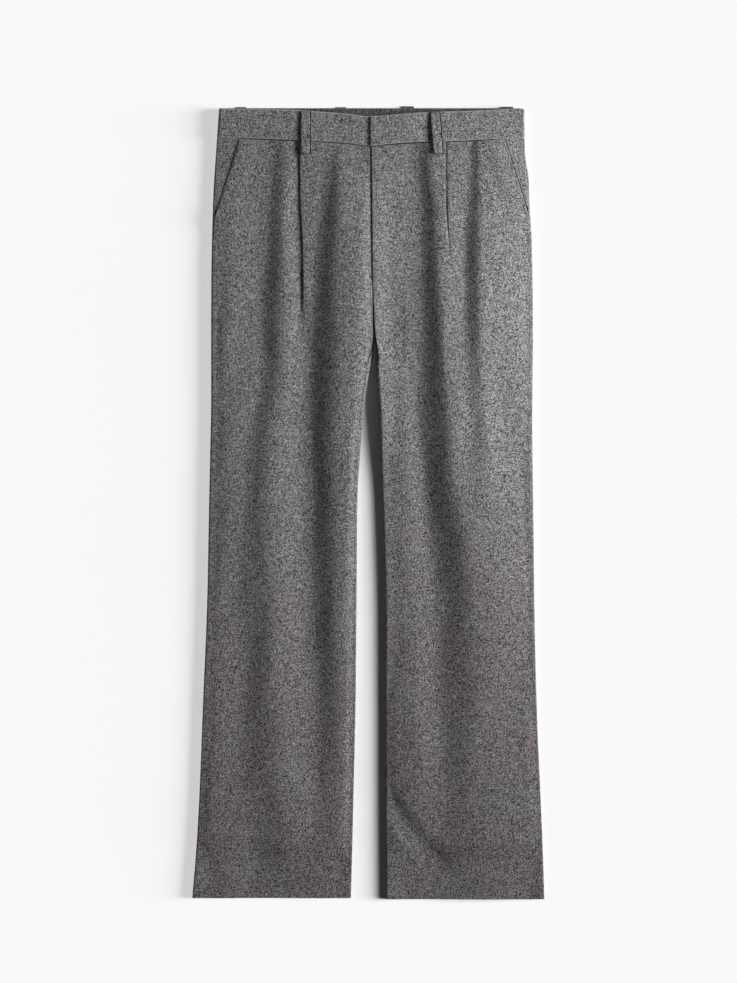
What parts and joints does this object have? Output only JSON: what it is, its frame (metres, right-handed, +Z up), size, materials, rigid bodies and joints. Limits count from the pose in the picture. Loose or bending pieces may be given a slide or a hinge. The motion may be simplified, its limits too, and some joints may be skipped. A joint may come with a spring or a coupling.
{
  "type": "pleated dress trousers",
  "caption": "Grey wool flannel dress trousers with forward pleats, slant pockets and belt loops, laid flat with the front up",
  "frame": {"origin": "centre of the bounding box at the surface that the trousers lie on", "axes": "+X towards the wearer's left side, +Y from the hems to the waistband, +Z up, out of the front of the trousers"},
  "size_m": [0.4682, 1.054, 0.0192],
  "materials": {
    "flannel_panel": "soft brushed wool flannel, heather grey, matt",
    "flannel_band": "the same wool flannel, pressed over canvas, matt"
  },
  "bodies": {
    "root": {"front_panel_right": "flannel_panel", "front_panel_left": "flannel_panel", "back_panel_right": "flannel_panel", "back_panel_left": "flannel_panel", "pocket_facing_right": "flannel_panel", "pocket_facing_left": "flannel_panel", "waistband_front_right": "flannel_band", "waistband_front_left": "flannel_band", "waistband_back": "flannel_band", "belt_loop_front_right": "flannel_band", "belt_loop_front_left": "flannel_band", "belt_loop_side_right": "flannel_band", "belt_loop_side_left": "flannel_band", "belt_loop_back_right": "flannel_band", "belt_loop_back_left": "flannel_band"}
  },
  "joints": []
}
